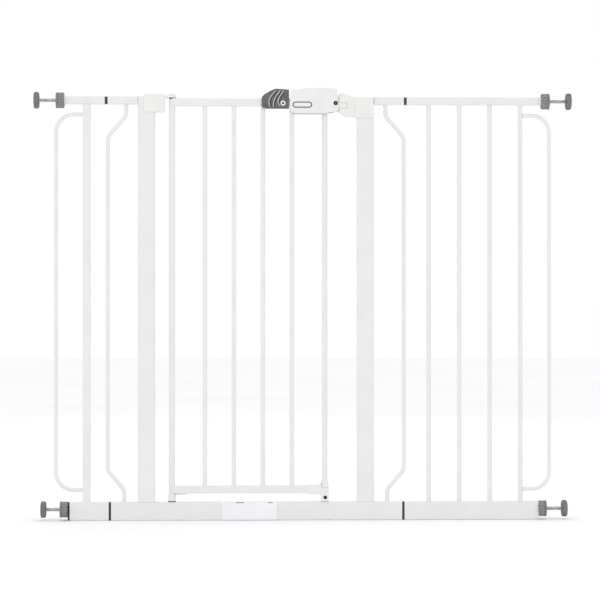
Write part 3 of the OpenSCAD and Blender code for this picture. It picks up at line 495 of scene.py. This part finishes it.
# ---- Bottom strike and clip-on plate ----
# A pressed stop plate on the rail's front, and a translucent-white ABS plate that clips over the
# rail under the doorway: two lips grip the rail's top, and shallow raised lines run along it.

low, high = cad("bottom_strike")
strike = bmesh.new()
cut = 1.5
slab(strike, [(low.x, low.z + cut), (low.x + cut, low.z), (high.x - cut, low.z), (high.x, low.z + cut),
              (high.x, high.z - cut), (high.x - cut, high.z), (low.x + cut, high.z),
              (low.x, high.z - cut)],
     low.y, high.y)
ringed(strike, [(-0.4, 1.9), (0.1, 1.9), (0.35, 1.2)], count=20,
       place=pointing((0, -1, 0), (middle("bottom_strike").x, low.y, middle("bottom_strike").z)))
add_piece("bottom_strike_pressed", strike, powder_coat, "frame", replaces=["bottom_strike"],
          edge=0.3)

# Cool white ABS, glossier than the handle's
plate_plastic = finish("cool_white_abs", "#f1f2f6", "#edeef2", rough=0.30, grain=1.4, depth=0.015,
                       patch=35.0, constants={"IOR": 1.54})
low, high = cad("threshold_plate")
plate = bmesh.new()
face_back = low.y + 1.6
slab(plate, corner_arc(low.x + 4, low.z + 4, 4, 180, 270) + corner_arc(high.x - 4, low.z + 4, 4, 270, 360)
     + [(high.x, rail_top - 1.2), (high.x - 1.2, rail_top), (low.x + 1.2, rail_top),
        (low.x, rail_top - 1.2)],
     low.y, face_back)
for x0, x1 in ((low.x + 30, low.x + 47), (low.x + 96, low.x + 107)):
    slab(plate, [(x0, rail_top - 2), (x1, rail_top - 2), (x1, high.z), (x0, high.z)], low.y, low.y + 8)
for x0, x1, z in ((low.x + 6, low.x + 62, low.z + 13.5), (low.x + 6, high.x - 6, low.z + 3.4)):
    slab(plate, [(x0, z), (x1, z), (x1, z + 0.8), (x0, z + 0.8)], low.y - 0.25, low.y + 0.5)
add_piece("threshold_plate_moulding", plate, plate_plastic, "frame", replaces=["threshold_plate"],
          edge=0.35)

# ---- Plugs between the tubes ----
# Black nylon plugs join each panel's rails to the main frame's, and plugs close the panels' outer
# ends, three of them white. Only a plate as wide as the tube shows, slightly waisted.

ALONG_X = Matrix(((0, 0, 1, 0), (1, 0, 0, 0), (0, 1, 0, 0), (0, 0, 0, 1)))
PLUG_TAIL = 22.0
for node, hole in [("joint_plug_top_left", 5.0), ("joint_plug_bottom_left", 5.0),
                   ("joint_plug_top_right", 2.0), ("joint_plug_bottom_right", 2.0),
                   ("end_plug_top_left", 4.3), ("end_plug_bottom_left", 4.3),
                   ("end_plug_top_right", 4.3), ("end_plug_bottom_right", 4.3)]:
    low, high = cad(node)
    height, depth = high.z - low.z, high.y - low.y
    axis_z = middle("spindle_rod_" + node.split("plug_")[1]).z
    rise = middle(node).z - axis_z
    is_joint = node.startswith("joint")
    flange = high.x - low.x - PLUG_TAIL * (2 if is_joint else 1)
    start = low.x + PLUG_TAIL if is_joint or "right" in node else low.x
    outer = rounded_box(depth, height, 3.0, rise)
    waist = rounded_box(depth - 0.9, height - 0.9, 3.0, rise)
    inner = rounded_box(depth - 3.4, height - 3.4, 2.2, rise)
    tip = rounded_box(depth - 4.6, height - 4.6, 2.0, rise)
    stations = [(0.0, inner), (0.0, waist), (0.7, outer), (1.3, outer), (1.7, waist),
                (flange - 1.7, waist), (flange - 1.3, outer), (flange - 0.7, outer),
                (flange, waist), (flange, inner)]
    behind = [(-PLUG_TAIL, hole), (-PLUG_TAIL, tip), (1.0 - PLUG_TAIL, inner)]
    ahead = [(flange + PLUG_TAIL - 1.0, inner), (flange + PLUG_TAIL, tip), (flange + PLUG_TAIL, hole)]
    if is_joint:
        stations = behind + stations + ahead
    elif "right" in node:
        stations = behind + stations[:-1] + [(flange, hole)]
    else:
        stations = [(0.0, hole)] + stations[1:] + ahead
    plug = bmesh.new()
    ringed(plug, stations + [stations[0]], count=64, hollow=True,
           place=Matrix.Translation((start, 0, axis_z)) @ ALONG_X)
    dark = is_joint or node == "end_plug_bottom_left"
    add_piece(node + "_moulded", plug, black_plastic if dark else white_plastic, "frame",
              replaces=[node])

# ---- Spindles, nuts and wall pads ----
# Each corner has an M8 zinc-plated rod with a rolled thread, a fluted nylon hand nut that pushes
# it out of the rail, and a rubber pad moulded on its end to grip the wall.

# Glass-filled nylon, coloured through: mid grey, dry, with a fine mottle from the fibres
grey_nylon = finish("grey_glass_filled_nylon", "#8d8f91", "#7b7d80", rough=0.5, grain=0.8, depth=0.03,
                    patch=5.0, cells=True, constants={"IOR": 1.53})
# Moulded rubber: matt mid grey with a fine bloom
rubber = finish("grey_moulded_rubber", "#7b7c7d", "#6d6e70", rough=0.82, grain=1.1, depth=0.06,
                patch=7.0, rough_swing=0.04, constants={"IOR": 1.52, "Specular IOR Level": 0.3})

PITCH = 1.25
root_r, crest_r = 3.42, 4.0
low, high = cad("spindle_rod_top_right")
length = high.x - low.x
thread = bmesh.new()
coil = [thread.verts.new((0.0, radius, height)) for radius, height in
        ((root_r, 0.0), (root_r, 0.2), (crest_r, 0.58), (crest_r, 0.72), (root_r, 1.12), (root_r, PITCH))]
coil_edges = [thread.edges.new(pair) for pair in zip(coil, coil[1:])]
turns, steps = int(length / PITCH) + 2, 16
bmesh.ops.spin(thread, geom=coil + coil_edges, cent=(0, 0, 0), axis=(0, 0, 1),
               dvec=(0, 0, PITCH / steps), angle=2 * math.pi * turns, steps=turns * steps,
               use_merge=False)
bmesh.ops.remove_doubles(thread, verts=thread.verts[:], dist=0.002)
lead_in = PITCH * 1.5
for height, keep_above in ((lead_in, True), (lead_in + length, False)):
    bmesh.ops.bisect_plane(thread, geom=thread.verts[:] + thread.edges[:] + thread.faces[:], dist=1e-5,
                           plane_co=(0, 0, height), plane_no=(0, 0, 1),
                           clear_inner=keep_above, clear_outer=not keep_above)
    bmesh.ops.holes_fill(thread, edges=[edge for edge in thread.edges if edge.is_boundary
                                        and abs(edge.verts[0].co.z - height) < 1e-3], sides=0)
bmesh.ops.translate(thread, vec=(0, 0, -lead_in), verts=thread.verts[:])

low, high = cad("adjusting_nut_top_right")
length = high.x - low.x
rim = (high.z - low.z) / 2
body_r = rim - 0.7
fluted = bmesh.new()
ringed(fluted, [(0.0, 4.15), (0.0, 9.5), (0.9, 10.2), (0.9, body_r - 2.4), (0.0, body_r - 1.9),
                (0.0, body_r - 0.9), (0.7, body_r), (length - 4.4, body_r), (length - 3.6, body_r - 1.7),
                (length - 3.2, body_r - 1.7), (length - 2.9, rim - 0.5), (length - 2.4, rim),
                (length - 0.5, rim), (length, rim - 0.6), (length, rim - 2.2), (length - 1.8, rim - 3.0),
                (length - 1.8, 8.2), (length - 0.2, 7.6), (length, 7.0), (length, 4.6),
                (length - 0.5, 4.15), (0.0, 4.15)], count=192, hollow=True)
flute_step, flute_half, flute_deep = 360 / 16, 5.4, 1.5
for vert in fluted.verts:
    radius = math.hypot(vert.co.x, vert.co.y)
    if radius > body_r - 1.2 and vert.co.z < length - 3.5:
        angle = math.degrees(math.atan2(vert.co.y, vert.co.x))
        turned = abs((angle + flute_step / 2) % flute_step - flute_step / 2)
        depth = flute_deep * max(0.0, 1 - (turned / flute_half) ** 2) ** 0.5
        vert.co.x *= (radius - depth) / radius
        vert.co.y *= (radius - depth) / radius

low, high = cad("wall_pad_top_right")
thick = high.x - low.x
pad_r = (high.z - low.z) / 2
disc = bmesh.new()
ringed(disc, [(0.0, 4.0), (0.0, 11.6), (0.4, 12.0), (0.4, 13.0), (0.0, 13.4), (0.0, pad_r - 2.0),
              (0.3, pad_r - 1.1), (1.0, pad_r - 0.45), (1.8, pad_r - 0.3), (thick - 6.6, pad_r - 0.3),
              (thick - 6.4, pad_r), (thick - 2.6, pad_r), (thick - 2.4, pad_r - 0.3),
              (thick - 1.4, pad_r - 0.35), (thick - 0.4, pad_r - 1.0), (thick, pad_r - 2.0),
              (thick, 12.4), (thick - 0.7, 12.1), (thick - 0.7, 11.2), (thick, 10.9), (thick, 8.2),
              (thick - 0.7, 7.9), (thick - 0.7, 7.0), (thick, 6.7), (thick, 3.4), (thick - 0.7, 3.0),
              (thick - 0.7, 0.3)], count=64)

for corner in ("top_left", "bottom_left", "top_right", "bottom_right"):
    side = -1 if "left" in corner else 1
    axis_z = middle("spindle_rod_" + corner).z
    for name, shape, node, body, material, slot, sharp in [
        ("spindle_thread_", thread, "spindle_rod_", "spindle_", zinc_plate, "zinc_steel", 50),
        ("hand_nut_", fluted, "adjusting_nut_", "nut_", grey_nylon, "grey_nylon", 30),
        ("wall_pad_moulded_", disc, "wall_pad_", "spindle_", rubber, "rubber", 40),
    ]:
        low, high = cad(node + corner)
        made = shape.copy()
        inner_x = low.x if side > 0 else high.x
        bmesh.ops.transform(made, matrix=pointing((side, 0, 0), (inner_x, 0, axis_z)),
                            verts=made.verts[:])
        add_piece(name + corner, made, material, body + corner, replaces=[node + corner],
                  sharp=sharp)
for shape in (thread, fluted, disc):
    shape.free()

# ---- Moulded shoe at the foot of the latch stile ----
# White ABS, pressed on where the stile meets the bottom rail: a square sleeve on the rail, a
# tapered sleeve up the stile with a parting line, and a leg held by one black screw.

low, high = cad("bottom_shoe")
stile_x = middle("latch_stile").x
stile_r = (cad("latch_stile")[1].x - cad("latch_stile")[0].x) / 2
rail_low, rail_high = cad("door_bottom_rail")
leg_left, leg_right = stile_x - 8.3, stile_x + 8.3
shoe = bmesh.new()
slab(shoe, corner_arc(leg_left + 1.2, low.z + 1.2, 1.2, 180, 270, 3)
     + corner_arc(leg_right - 1.2, low.z + 1.2, 1.2, 270, 360, 3)
     + [(leg_right, rail_high.z - 4.4), (leg_left, rail_high.z - 4.4)], low.y, high.y)
slab(shoe, [(leg_left - 9, rail_low.z - 1.2), (leg_left - 5.5, rail_low.z - 1.8),
            (leg_left - 2.5, rail_low.z - 3.6), (leg_left + 1, rail_low.z - 7),
            (leg_left + 1, rail_high.z + 6), (leg_left - 0.6, rail_high.z + 3.4),
            (leg_left - 4, rail_high.z + 1.8), (leg_left - 9, rail_high.z + 1.2)],
     low.y + 0.2, high.y - 0.2)
shoe_y, rail_height = high.y - low.y, rail_high.z - rail_low.z
ringed(shoe, [(0.0, rounded_box(16.6, shoe_y - 0.4, 3.0)), (1.0, rounded_box(16.6, shoe_y - 0.4, 3.4)),
              (4.5, rounded_box(16.0, 16.6, 6.0)), (9.0, 7.75), (15.0, stile_r + 1.1),
              (17.4, stile_r + 0.8), (18.0, stile_r + 0.35)], count=48,
       place=Matrix.Translation((stile_x, 0, rail_high.z - 4.0)))
sleeve = rounded_box(shoe_y, rail_height + 3, 2.4)
mouth = rounded_box(shoe_y - 1.6, rail_height + 1.4, 2.0)
ringed(shoe, [(0.0, mouth), (0.7, sleeve), (22.5, sleeve)],
       count=64, place=Matrix.Translation((low.x, 0, (rail_low.z + rail_high.z) / 2)) @ ALONG_X)
add_piece("bottom_shoe_moulding", shoe, white_plastic, "door", replaces=["bottom_shoe"],
          edge=0.5)

# Chemically blackened steel: dark, slightly brown, with a soft metallic shine
black_steel = finish("blackened_steel", "#3a3a3c", "#242427", rough=0.36, grain=0.5, depth=0.01,
                     patch=6.0, constants={"Metallic": 0.8})
screw = bmesh.new()
low, high = cad("shoe_screw")
screw_at = middle("shoe_screw")
length = high.y - low.y
ringed(screw, [(0.0, 1.5), (length - 1.6, 1.5), (length - 1.6, 3.7), (length - 1.1, 3.7),
               (length - 0.4, 3.2), (length, 2.5), (length, screw_cross), (length - 1.0, screw_cross)],
       count=40,
       place=pointing((0, -1, 0), (screw_at.x, high.y, screw_at.z)))
add_piece("shoe_screw_cross", screw, black_steel, "door", replaces=["shoe_screw"])

# ---- Latch block on the door ----
# The ABS block that plugs into the door's top rail and carries the handle's pivot. The tongue
# on its nose drops into the catch; its mouth is chamfered all round.


def softened(node, width):
    """A copy of a CAD node with its triangles merged back into faces and its edges rounded."""
    bm = bmesh.new()
    bm.from_mesh(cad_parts[node].data)
    bmesh.ops.scale(bm, vec=(1 / MM, 1 / MM, 1 / MM), verts=bm.verts[:])
    bmesh.ops.remove_doubles(bm, verts=bm.verts[:], dist=0.002)
    bmesh.ops.dissolve_limit(bm, angle_limit=math.radians(1.0), verts=bm.verts[:], edges=bm.edges[:])
    crisp_angle = 0.6
    crisp = [edge for edge in bm.edges
             if len(edge.link_faces) == 2 and edge.calc_face_angle() > crisp_angle]
    bmesh.ops.bevel(bm, geom=crisp, offset=width, offset_type="OFFSET", segments=2, profile=0.5,
                    affect="EDGES", clamp_overlap=True, material=-1)
    return bm


add_piece("latch_block_moulding", softened("latch_block", 0.4), white_plastic, "door",
          replaces=["latch_block"])

# Hard-drawn spring wire, bright from the die
spring_wire = finish("drawn_spring_wire", "#b9bbbe", "#98999c", rough=0.28, grain=0.3, depth=0.005,
                     patch=4.0, constants={"Metallic": 1.0})
paint(spring_wire, "handle_spring", "release_spring")

# ---- Handle ----
# A white ABS trough over the end of the door's rail, moulded with 2.2 mm walls. The free end is
# an arc about the pivot, so it clears the release; a cap strip closes its nose.


def trough(outline, open_runs, half, round_edge):
    """Two cheeks of one outline joined by a wall along its edges, except along the open runs."""
    bm = bmesh.new()
    slab(bm, outline, -half, half)
    count = len(outline)
    opened = []
    sides = [face for face in bm.faces if abs(face.normal.y) < 0.5]
    for index in open_runs:
        (xa, za), (xb, zb) = outline[index % count], outline[(index + 1) % count]
        spot = Vector(((xa + xb) / 2, 0, (za + zb) / 2))
        opened.append(min(sides, key=lambda face: (face.calc_center_median() - spot).length))
    bmesh.ops.delete(bm, geom=list(set(opened)), context="FACES")
    bmesh.ops.recalc_face_normals(bm, faces=bm.faces[:])
    long_edges = [edge for edge in bm.edges if len(edge.link_faces) == 2
                  and sum(abs(face.normal.y) > 0.5 for face in edge.link_faces) == 1]
    bmesh.ops.bevel(bm, geom=long_edges, offset=round_edge, offset_type="OFFSET", segments=4,
                    profile=0.5, affect="EDGES", clamp_overlap=True, material=-1)
    return bm


def from_pivot(*points):
    """Outline points that are given from the handle's pivot."""
    return [(pivot.x + dx, pivot.z + dz) for dx, dz in points]


low, high = cad("handle_shell")
reach = pivot.x - low.x
end_arc = corner_arc(pivot.x, pivot.z, reach, 164, 189, 10)
under = from_pivot((-94.6, -17.4), (-90, -19.6), (-86, -21.6), (-30, -21.6), (-20, -20.8),
                   (-12, -19.4), (-4, -17.6), (2.6, -16.0), (4.8, -14.6))
right = from_pivot((4.8, 3.0), (1.0, 18.8))
crown = (corner_arc(pivot.x - 1.6, pivot.z + 25.2, 5.2, -28, 80, 8)
         + from_pivot((-10, 31.4), (-18, 32.0)) + [(pivot.x - 26, high.z), (pivot.x - 46, high.z)]
         + from_pivot((-58, 31.9), (-70, 30.7), (-78, 29.5), (-86, 28.2)))
outline = end_arc + under + right + crown
handle = trough(outline, range(0, len(end_arc) + len(under) + len(right)), high.y, 2.6)
add_piece("handle_moulding", handle, white_plastic, "handle", replaces=["handle_shell"],
          edge=0.5, wall=2.2, segments=3)

strip = bmesh.new()
slab(strip, from_pivot((-15.2, 22.8), (1.4, 22.8))
     + corner_arc(pivot.x - 1.5, pivot.z + 25.2, 5.1, -25, 80, 7)
     + from_pivot((-9, 31.2), (-15.2, 31.7)), low.y - 0.25, high.y + 0.25)
add_piece("handle_nose_strip", strip, white_plastic, "handle", edge=1.6,
          segments=4)

# Pad-printed badge: pale satin field inside a dark grey oval line, left blank
badge_line = finish("dark_printed_line", "#505255", "#47494c", rough=0.4, grain=0.6, depth=0.01,
                    patch=8.0)
badge_field = finish("pale_satin_badge", "#dcdcdc", "#d2d3d4", rough=0.35, grain=0.6, depth=0.01,
                     patch=8.0)
low, high = cad("handle_badge")
width, height = high.x - low.x, high.z - low.z


def oval(inset):
    """Ring outline of the badge's oval, drawn in by inset."""
    return rounded_box(width - 2 * inset, height - 2 * inset, height / 2 - inset - 0.01)


badge = bmesh.new()
front = high.y - low.y
ringed(badge, [(0.0, oval(0.0)), (front - 0.2, oval(0.0)), (front, oval(0.3)), (front, oval(2.1)),
               (front - 0.35, oval(2.4)), (front - 0.35, oval(3.0))], count=96,
       place=pointing((0, -1, 0), (middle("handle_badge").x, high.y, middle("handle_badge").z)))
for face in badge.faces:
    at_y = face.calc_center_median().y
    is_cap = len(face.verts) > 4 and at_y < high.y - 0.1
    is_sunk = len(face.verts) == 4 and at_y > low.y + 0.2 and abs(face.normal.y) > 0.7
    face.material_index = 1 if is_cap or is_sunk else 0
add_piece("handle_badge_blank", badge, [badge_line, badge_field], "handle", replaces=["handle_badge"])

pivot_screw = bmesh.new()
half = cad("handle_pivot_pin")[1].y
ringed(pivot_screw, [(-half + 0.9, screw_cross), (-half, screw_cross), (-half, 3.4), (-half + 0.35, 4.4),
                     (-half + 1.4, 5.0), (-half + 1.5, 5.0), (-half + 1.5, 2.5), (half - 1.5, 2.5),
                     (half - 1.5, 5.0), (half - 1.4, 5.0), (half - 0.35, 4.4), (half, 3.4),
                     (half, screw_cross), (half - 0.9, screw_cross)], count=40,
       place=pointing((0, -1, 0), (pivot.x, 0, pivot.z)))
add_piece("handle_pivot_screw", pivot_screw, black_steel, "door", replaces=["handle_pivot_pin"])

# ---- Release trigger ----
# A grey polypropylene rocker on the door's rail with curved thumb ribs on both cheeks, held by
# a white rivet. Squeezing its roof unlocks the handle.

# Moulded polypropylene, coloured through: mid grey with a satin face
grey_plastic = finish("grey_moulded_polypropylene", "#636567", "#55575a", rough=0.4, grain=0.8,
                      depth=0.025, patch=10.0, cells=True, constants={"IOR": 1.49})
low, high = cad("release_trigger")
rivet = middle("release_pin")
cheek_y = 12.1
outline = [(low.x, low.z + 2), (low.x + 2, low.z), (high.x - 2, low.z), (high.x, low.z),
           (high.x, high.z - 1.8), (low.x + 34, high.z), (low.x + 28, high.z),
           (low.x + 18, high.z - 4.4), (low.x + 6.5, low.z + 28.8), (low.x + 2, low.z + 24.5),
           (low.x, low.z + 20)]
release = trough(outline, [0, 1, 2, 3, 8, 9, 10], cheek_y, 1.4)
add_piece("release_moulding", release, grey_plastic, "release", replaces=["release_trigger"],
          edge=0.4, wall=2.6)

# The same plastic painted light on the ribs' crests as a painted highlight, and painted near black on
# strips beside them as painted shadow in the grooves
painted_highlight_rib = finish("painted_highlight_grey_polypropylene", "#b3b5b6", "#a2a4a6", rough=0.34, grain=0.8, depth=0.015,
                   patch=8.0, constants={"IOR": 1.49})
painted_groove_shadow = finish("shaded_grey_polypropylene", "#2f3134", "#27292b", rough=0.55, grain=0.8,
                       depth=0.03, patch=8.0, constants={"IOR": 1.49})


def swept(points, offset, width, per=5):
    """Outline of a band that runs along a smooth curve through points, offset to its right."""
    ends = [Vector(spot) for spot in points]
    ends = [2 * ends[0] - ends[1]] + ends + [2 * ends[-1] - ends[-2]]
    track = []
    for p0, p1, p2, p3 in zip(ends, ends[1:], ends[2:], ends[3:]):
        for step in range(per):
            t = step / per
            track.append(0.5 * (2 * p1 + (p2 - p0) * t + (2 * p0 - 5 * p1 + 4 * p2 - p3) * t * t
                                + (3 * p1 - p0 - 3 * p2 + p3) * t ** 3))
    track.append(ends[-2])
    left, right = [], []
    for index, spot in enumerate(track):
        along = (track[min(index + 1, len(track) - 1)] - track[max(index - 1, 0)]).normalized()
        out = Vector((along.y, -along.x))
        left.append(spot + out * (offset - width / 2))
        right.append(spot + out * (offset + width / 2))
    return left + right[::-1]


ribs = bmesh.new()
grooves = bmesh.new()
for points in ([(-28.0, -7.6), (-30.0, 1.9), (-28.2, 9.6), (-23.5, 17.3), (-15.5, 26.6)],
               [(-20.4, -7.9), (-20.0, 1.0), (-17.6, 9.4), (-13.4, 16.4), (-5.6, 26.8)],
               [(-6.6, -5.4), (-10.4, 1.4), (-9.6, 8.2), (-6.0, 15.6), (1.8, 26.2)]):
    # Each rib gets a light band (painted highlight) and, beside it, a dark band just proud of the cheek
    # (painted shadow standing for the groove's shade)
    for bm, offset, width, proud in ((ribs, 0.0, 2.6, 0.6), (grooves, 2.7, 2.6, 0.12)):
        band = [(rivet.x + at.x, rivet.z + at.y) for at in swept(points, offset, width)]
        for y0, y1 in ((-cheek_y - proud, 0.7 - cheek_y), (cheek_y - 0.7, cheek_y + proud)):
            slab(bm, band, y0, y1)
add_piece("release_ribs", ribs, painted_highlight_rib, "release", edge=0.5, sharp=50)
add_piece("release_groove_shadows", grooves, painted_groove_shadow, "release")

rivet_head = bmesh.new()
half = cad("release_pin")[1].y
ringed(rivet_head, [(-half + 0.9, 2.3), (-half + 0.4, 2.5), (-half, 3.0), (-half, 4.6), (-half + 0.3, 5.3),
                    (-half + 0.9, 5.5), (-half + 1.2, 5.5), (-half + 1.2, 2.5), (half - 1.2, 2.5),
                    (half - 1.2, 5.5), (half - 0.9, 5.5), (half - 0.3, 5.3), (half, 4.6), (half, 3.0),
                    (half - 0.4, 2.5), (half - 0.9, 2.3)], count=40,
       place=pointing((0, -1, 0), (rivet.x, 0, rivet.z)))
for face in rivet_head.faces:
    if len(face.verts) > 4:
        face.material_index = 1
add_piece("release_rivet", rivet_head, [white_plastic, black_steel], "door", replaces=["release_pin"])
